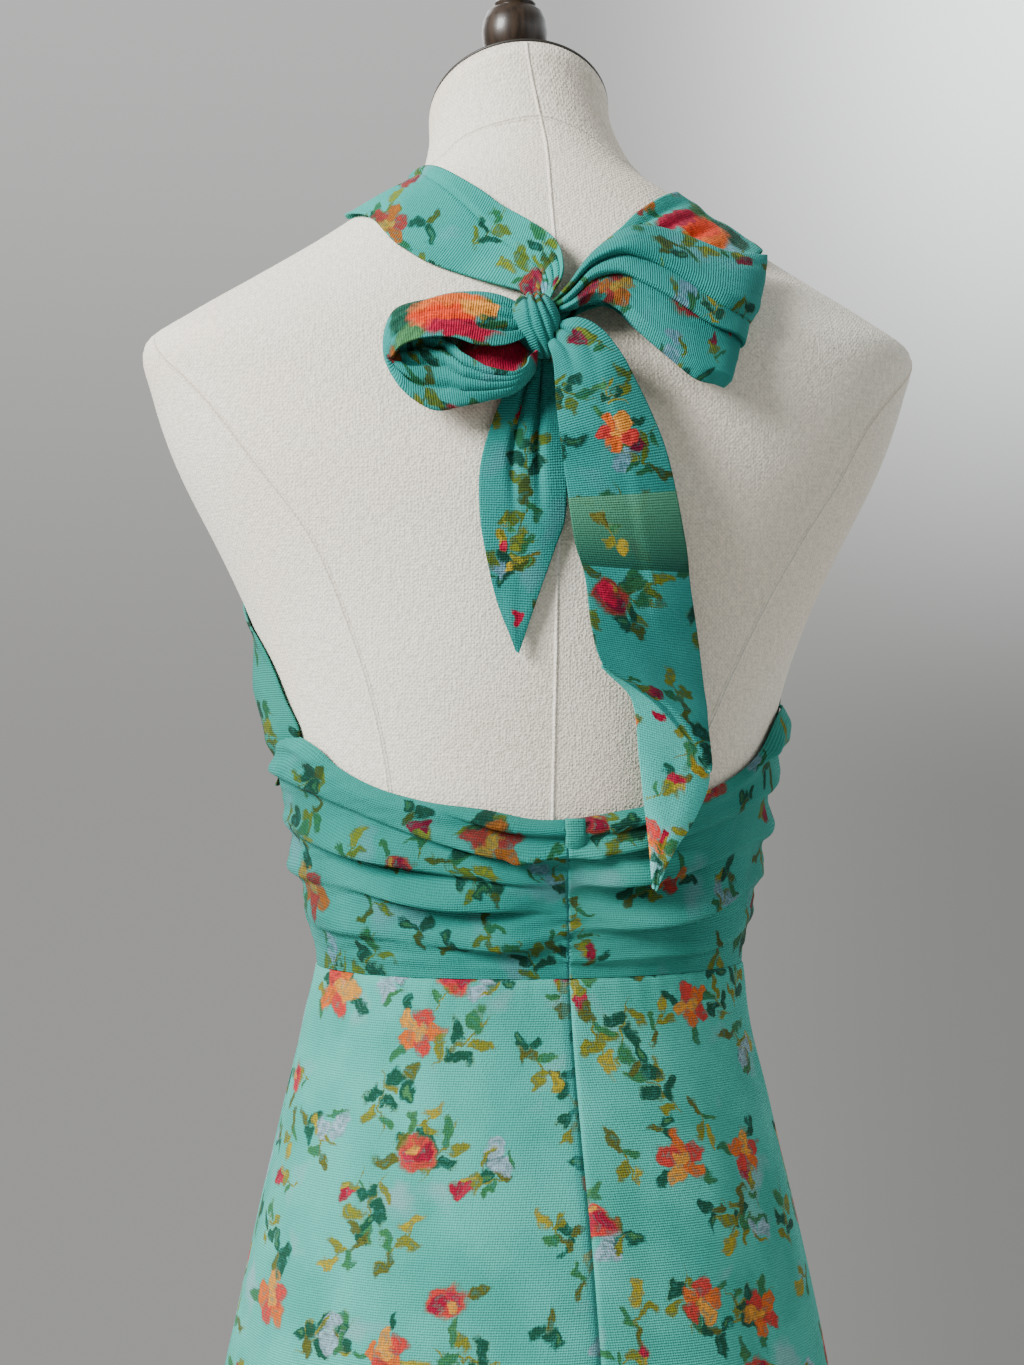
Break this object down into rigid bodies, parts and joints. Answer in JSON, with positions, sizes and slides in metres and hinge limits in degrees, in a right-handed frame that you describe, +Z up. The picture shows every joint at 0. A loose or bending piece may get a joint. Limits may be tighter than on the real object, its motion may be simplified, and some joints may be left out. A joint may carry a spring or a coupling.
{
  "type": "halter mesh top on a dress form",
  "caption": "Halter top of printed stretch mesh with a gathered band and a bow tied at the nape, on a limbless dress form and stand.",
  "frame": {"origin": "centre of the base's underside, on the surface that it stands on", "axes": "+Z up; -Y towards the wearer's front, so the bow is on the +Y side; +X towards the wearer's left"},
  "size_m": [0.3952, 0.34, 1.5212],
  "materials": {
    "printed_mesh": "fine ribbed stretch knit with a painterly floral print",
    "linen_cover": "plain woven, matt",
    "dark_turned_wood": "varnished",
    "painted_steel": "satin black paint"
  },
  "bodies": {
    "root": {"skirt_front": "printed_mesh", "skirt_back_left": "printed_mesh", "skirt_back_right": "printed_mesh", "band_front": "printed_mesh", "band_back_left": "printed_mesh", "band_back_right": "printed_mesh", "centre_tab": "printed_mesh", "cup_left": "printed_mesh", "cup_right": "printed_mesh", "strap_left": "printed_mesh", "strap_right": "printed_mesh", "knot": "printed_mesh", "loop_left": "printed_mesh", "loop_right": "printed_mesh", "tail_left": "printed_mesh", "tail_right": "printed_mesh", "torso": "linen_cover", "neck_plate": "painted_steel", "finial": "dark_turned_wood", "bottom_board": "dark_turned_wood", "pole": "painted_steel", "base": "painted_steel"}
  },
  "joints": []
}
